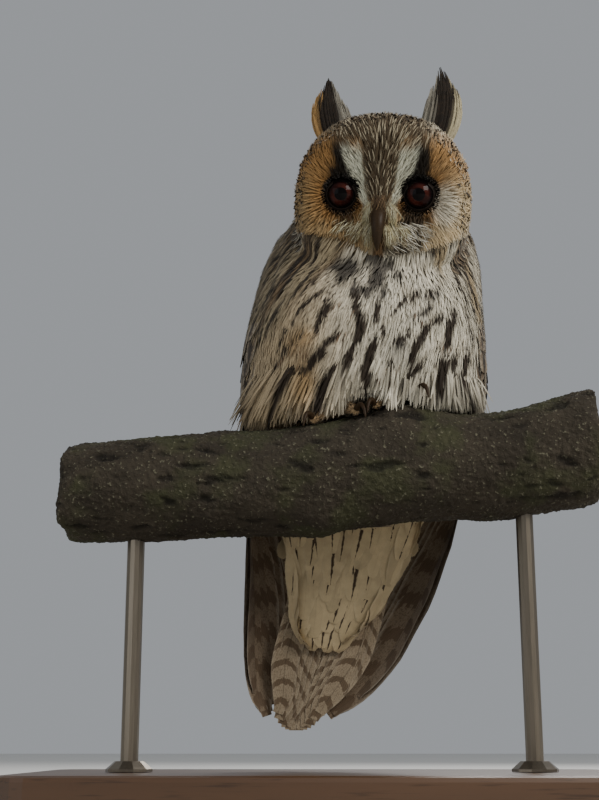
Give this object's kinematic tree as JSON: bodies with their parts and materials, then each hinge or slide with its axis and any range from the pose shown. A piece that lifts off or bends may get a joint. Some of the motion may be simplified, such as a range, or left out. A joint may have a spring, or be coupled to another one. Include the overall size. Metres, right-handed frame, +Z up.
{
  "type": "long-eared owl display model",
  "caption": "Still life-size owl with ear tufts, perched upright on a short cut branch that two rods carry above a flat base",
  "frame": {"origin": "Centre of the underside of the base, the middle of the lowest face of the model's box", "axes": "+Z up; the owl faces -Y; +X runs along the perch and the long side of the base, to the right of a viewer who faces the owl"},
  "size_m": [0.34, 0.2, 0.4341],
  "materials": {
    "plumage_brown": "matte feathers",
    "plumage_pale": "matte feathers",
    "plumage_face": "matte fine feathers",
    "eye": "wet gloss",
    "horn": "satin horn",
    "bark": "rough mossy bark",
    "base_wood": "satin varnish",
    "rod_metal": "darkened satin"
  },
  "bodies": {
    "root": {"head": "plumage_brown", "facial_disc": "plumage_face", "neck": "plumage_brown", "trunk": "plumage_pale", "undertail_coverts": "plumage_pale", "tail": "plumage_brown", "wing_left": "plumage_brown", "wing_right": "plumage_brown", "ear_tuft_left": "plumage_brown", "ear_tuft_right": "plumage_brown", "eye_left": "eye", "eye_right": "eye", "bill_upper": "horn", "bill_lower": "horn", "leg_left": "plumage_pale", "leg_right": "plumage_pale", "foot_left": "plumage_pale", "foot_right": "plumage_pale", "perch": "bark", "stand_base": "base_wood", "stand_rod_left": "rod_metal", "stand_rod_right": "rod_metal", "stand_collar_left": "rod_metal", "stand_collar_right": "rod_metal", "claw_left_inner_front": "horn", "claw_left_outer_front": "horn", "claw_left_inner_back": "horn", "claw_left_outer_back": "horn", "claw_right_inner_front": "horn", "claw_right_outer_front": "horn", "claw_right_inner_back": "horn", "claw_right_outer_back": "horn"}
  },
  "joints": []
}
